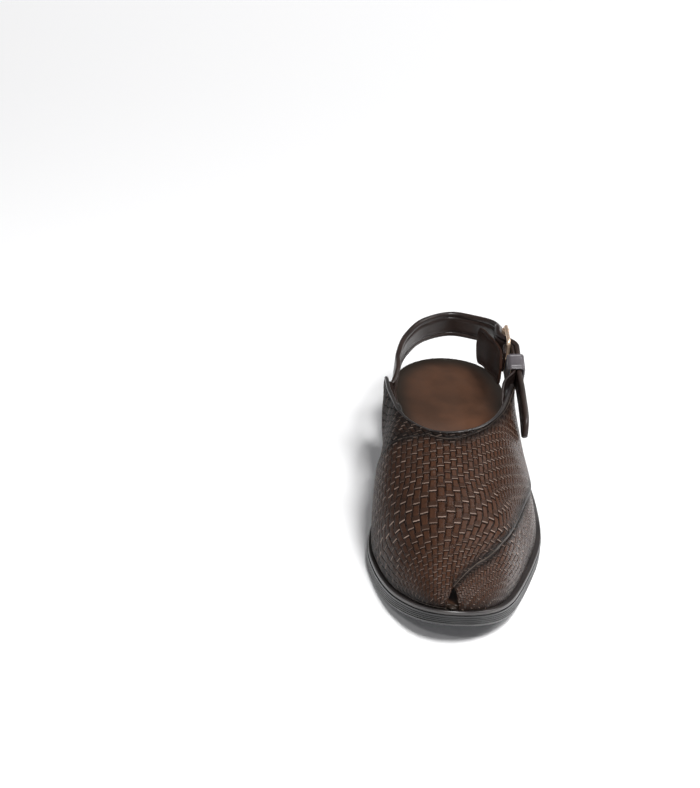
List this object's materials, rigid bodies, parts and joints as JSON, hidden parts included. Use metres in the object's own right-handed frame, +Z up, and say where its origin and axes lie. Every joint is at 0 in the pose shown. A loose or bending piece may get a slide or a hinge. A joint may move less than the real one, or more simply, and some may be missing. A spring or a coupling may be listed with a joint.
{
  "type": "peshawari chappal",
  "caption": "Left peshawari chappal: closed crossed leather vamp with a peeped toe, buckled heel strap and a studded rubber sole with a low heel.",
  "frame": {"origin": "on the floor under the middle of the heel's tread", "axes": "+Z up, -Y from heel to toe, +X to the outer side of the left foot"},
  "size_m": [0.1057, 0.3044, 0.0898],
  "materials": {
    "embossed_leather": "glossy brown leather embossed like woven strips, burnished dark at its edges",
    "strap_leather": "smooth dark brown leather, semi-gloss",
    "insole_leather": "satin brown leather, darker round its rim",
    "welt_leather": "dark polished leather edge",
    "rubber": "matt black rubber with fine dotted tread",
    "rose_gold": "polished rose-gold plate"
  },
  "bodies": {
    "root": {"outsole": "rubber", "heel": "rubber", "midsole": "welt_leather", "insole": "insole_leather", "upper": "embossed_leather", "heel_strap": "strap_leather", "chape_tab": "strap_leather", "keeper": "strap_leather", "guard_flap": "insole_leather", "buckle_frame": "rose_gold", "buckle_roller": "rose_gold", "buckle_prong": "rose_gold", "tail_eyelet_1": "rose_gold", "tail_eyelet_2": "rose_gold"}
  },
  "joints": []
}
